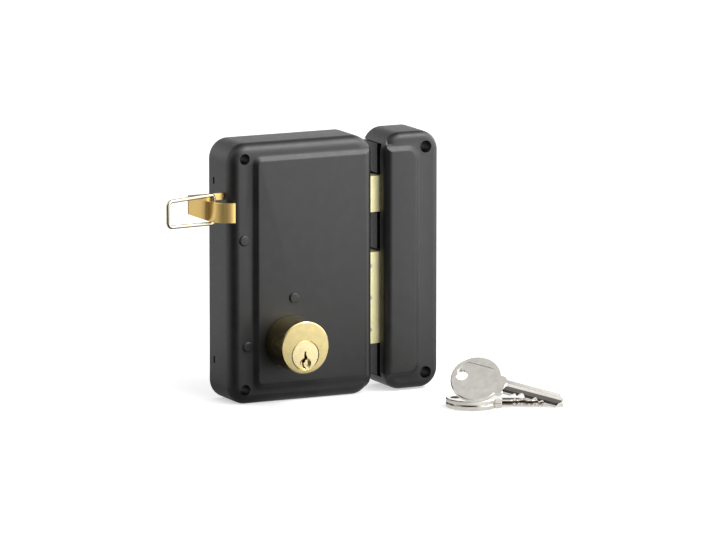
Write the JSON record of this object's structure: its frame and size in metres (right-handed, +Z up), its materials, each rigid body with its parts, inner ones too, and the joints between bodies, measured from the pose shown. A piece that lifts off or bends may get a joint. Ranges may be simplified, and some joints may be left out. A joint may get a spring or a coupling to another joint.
{
  "type": "rim box lock",
  "caption": "Surface-mounted box lock with a sprung latch, a key-driven dead bolt, a pull ring, a box keeper and loose keys.",
  "frame": {"origin": "where the key axis meets the door side of the back plate", "axes": "+X from the lock to the keeper, +Y into the door, +Z up"},
  "size_m": [0.196, 0.1255, 0.14],
  "materials": {
    "black_coat": "satin black powder coat",
    "black_steel": "black coated steel",
    "zinc_steel": "zinc plated",
    "hard_steel": "hardened, ground",
    "spring_steel": "bright drawn",
    "cylinder_brass": "turned and polished",
    "plug_brass": "turned",
    "pin_brass": "turned",
    "gear_brass": "stamped",
    "bolt_brass": "extruded and brushed",
    "strip_brass": "rolled strip",
    "nickel_wire": "nickel plated",
    "key_nickel": "nickel plated"
  },
  "bodies": {
    "root": {"case_cover": "black_coat", "back_plate": "black_steel", "case_spacers": "black_steel", "cover_posts": "black_steel", "idler_post": "black_steel", "idler_washer": "zinc_steel", "rack_guide": "zinc_steel", "fore_end_plate": "zinc_steel", "fore_end_screws": "zinc_steel", "cylinder_body": "cylinder_brass", "driver_pins": "pin_brass", "pin_springs": "spring_steel", "cylinder_screws": "zinc_steel", "spring_bracket": "zinc_steel", "latch_spring": "spring_steel"},
    "plug": {"cylinder_plug": "plug_brass", "cylinder_gear": "gear_brass", "plug_clip": "spring_steel", "key_pins": "pin_brass"},
    "idler": {"idler_wheel": "gear_brass", "idler_pinion": "zinc_steel"},
    "dead_bolt_body": {"dead_bolt": "bolt_brass", "dead_bolt_pins": "hard_steel", "dead_bolt_rack": "zinc_steel", "rack_rivets": "zinc_steel"},
    "latch": {"latch_bolt": "bolt_brass", "latch_rod": "zinc_steel", "rod_clip": "spring_steel", "pull_strip": "strip_brass", "strip_rivets": "zinc_steel"},
    "ring": {"pull_ring": "nickel_wire"},
    "keeper": {"keeper_cover": "black_coat", "keeper_plate": "black_steel", "keeper_spacers": "black_steel"},
    "key_1_body": {"key_1": "key_nickel"},
    "key_2_body": {"key_2": "key_nickel"},
    "key_3_body": {"key_3": "key_nickel"}
  },
  "joints": [
    {"name": "plug_turn", "type": "hinge", "parent": "root", "child": "plug", "pos_m": [0, 0, 0], "axis": [0, -1, 0], "range_deg": [0, 720]},
    {"name": "idler_turn", "type": "hinge", "parent": "root", "child": "idler", "pos_m": [0.0028, 0, 0.0274], "axis": [0, -1, 0], "range_deg": [-252.5, 0]},
    {"name": "dead_bolt_slide", "type": "slide", "parent": "root", "child": "dead_bolt_body", "axis": [-1, 0, 0], "range_m": [0, 0.0207]},
    {"name": "latch_slide", "type": "slide", "parent": "root", "child": "latch", "axis": [-1, 0, 0], "range_m": [0, 0.0125], "stiffness_N_per_m": 400, "springref_m": -0.02, "deforming": ["latch_spring"]},
    {"name": "ring_swing", "type": "hinge", "parent": "latch", "child": "ring", "pos_m": [-0.03995, -0.015, 0.0769], "axis": [0, 0, 1], "range_deg": [-12, 80]},
    {"name": "keeper_part", "type": "slide", "parent": "root", "child": "keeper", "axis": [1, 0, 0], "range_m": [0, 0.04]},
    {"name": "key_1_lift", "type": "slide", "parent": "root", "child": "key_1_body", "axis": [0, 0, 1], "range_m": [0, 0.06]},
    {"name": "key_2_lift", "type": "slide", "parent": "key_1_body", "child": "key_2_body", "axis": [0, 0, 1], "range_m": [0, 0.06]},
    {"name": "key_3_lift", "type": "slide", "parent": "key_2_body", "child": "key_3_body", "axis": [0, 0, 1], "range_m": [0, 0.06]}
  ],
  "couplings": [
    {"joint": "idler_turn", "follows": "plug_turn", "ratio": -0.35},
    {"joint": "dead_bolt_slide", "follows": "plug_turn", "m_per_rad": 0.001647}
  ]
}
